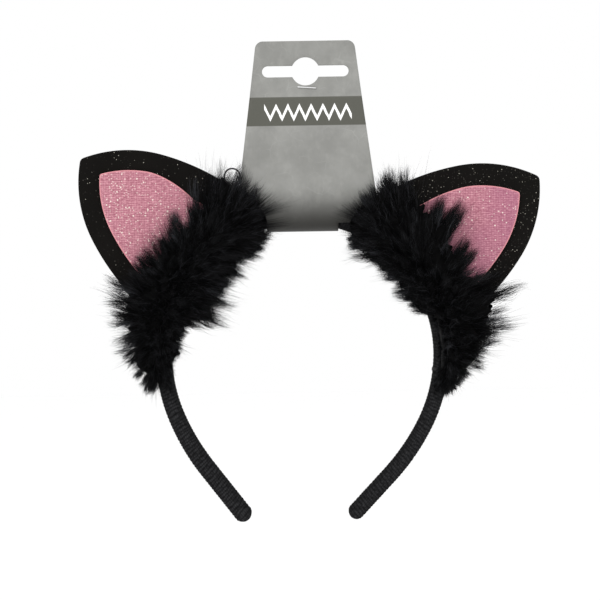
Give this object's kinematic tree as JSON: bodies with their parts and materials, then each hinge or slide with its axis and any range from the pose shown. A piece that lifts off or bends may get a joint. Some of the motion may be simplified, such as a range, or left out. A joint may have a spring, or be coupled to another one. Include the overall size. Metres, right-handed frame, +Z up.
{
  "type": "animal ears headband",
  "caption": "Sprung headband in a ribbed knit sleeve with two layered fabric ears and marabou feather trim, hanging in the fold of a stapled header card.",
  "frame": {"origin": "centre of the header card's round hang hole, midway between the card's two panels", "axes": "+Z up along the card, -Y is the ears' front, +X to the viewer's right"},
  "size_m": [0.2048, 0.0309, 0.2133],
  "materials": {
    "card": "matte grey printed card, 0.45 mm",
    "staple_wire": "bright galvanised wire",
    "knit": "black ribbed knit, matte",
    "band_plastic": "moulded black plastic",
    "glitter_cloth": "black cloth with fine sparse glitter, foam backed",
    "stiffener": "stiff non-woven interlining",
    "back_felt": "black craft felt",
    "pink_lame": "pink woven cloth with metallic flecks",
    "hot_glue": "set hot-melt glue, translucent",
    "marabou": "black marabou down",
    "thread": "black twisted cotton thread"
  },
  "bodies": {
    "card": {"header_card": "card", "card_staple": "staple_wire"},
    "crown": {"sleeve_crown": "knit", "core_crown": "band_plastic"},
    "left_half": {"left_sleeve": "knit", "left_sleeve_tip": "knit", "left_core_leg": "band_plastic", "left_ear_front_panel": "glitter_cloth", "left_ear_stiffener": "stiffener", "left_ear_back_panel": "back_felt", "left_ear_pink_inlay": "pink_lame", "left_ear_base_tab": "back_felt", "left_ear_glue_bead": "hot_glue", "left_marabou_fluff": "marabou", "left_marabou_cord": "thread", "left_marabou_tie": "thread", "left_marabou_top_glue": "hot_glue", "left_marabou_bottom_glue": "hot_glue", "left_marabou_end_loop": "thread"},
    "right_half": {"right_sleeve": "knit", "right_sleeve_tip": "knit", "right_core_leg": "band_plastic", "right_ear_front_panel": "glitter_cloth", "right_ear_stiffener": "stiffener", "right_ear_back_panel": "back_felt", "right_ear_pink_inlay": "pink_lame", "right_ear_base_tab": "back_felt", "right_ear_glue_bead": "hot_glue", "right_marabou_fluff": "marabou", "right_marabou_cord": "thread", "right_marabou_tie": "thread", "right_marabou_top_glue": "hot_glue", "right_marabou_bottom_glue": "hot_glue"}
  },
  "joints": [
    {"name": "band_swing", "type": "hinge", "parent": "card", "child": "crown", "pos_m": [0, 0, -0.0644], "axis": [0.9987, 0, -0.0506], "range_deg": [-8, 8]},
    {"name": "left_leg_flex", "type": "hinge", "parent": "crown", "child": "left_half", "pos_m": [-0.00998, 0, -0.0647], "axis": [0, 1, 0], "range_deg": [-4, 10], "stiffness_Nm_per_rad": 2.2},
    {"name": "right_leg_flex", "type": "hinge", "parent": "crown", "child": "right_half", "pos_m": [0.0099, 0, -0.06571], "axis": [0, -1, 0], "range_deg": [-4, 10], "stiffness_Nm_per_rad": 2.2}
  ]
}
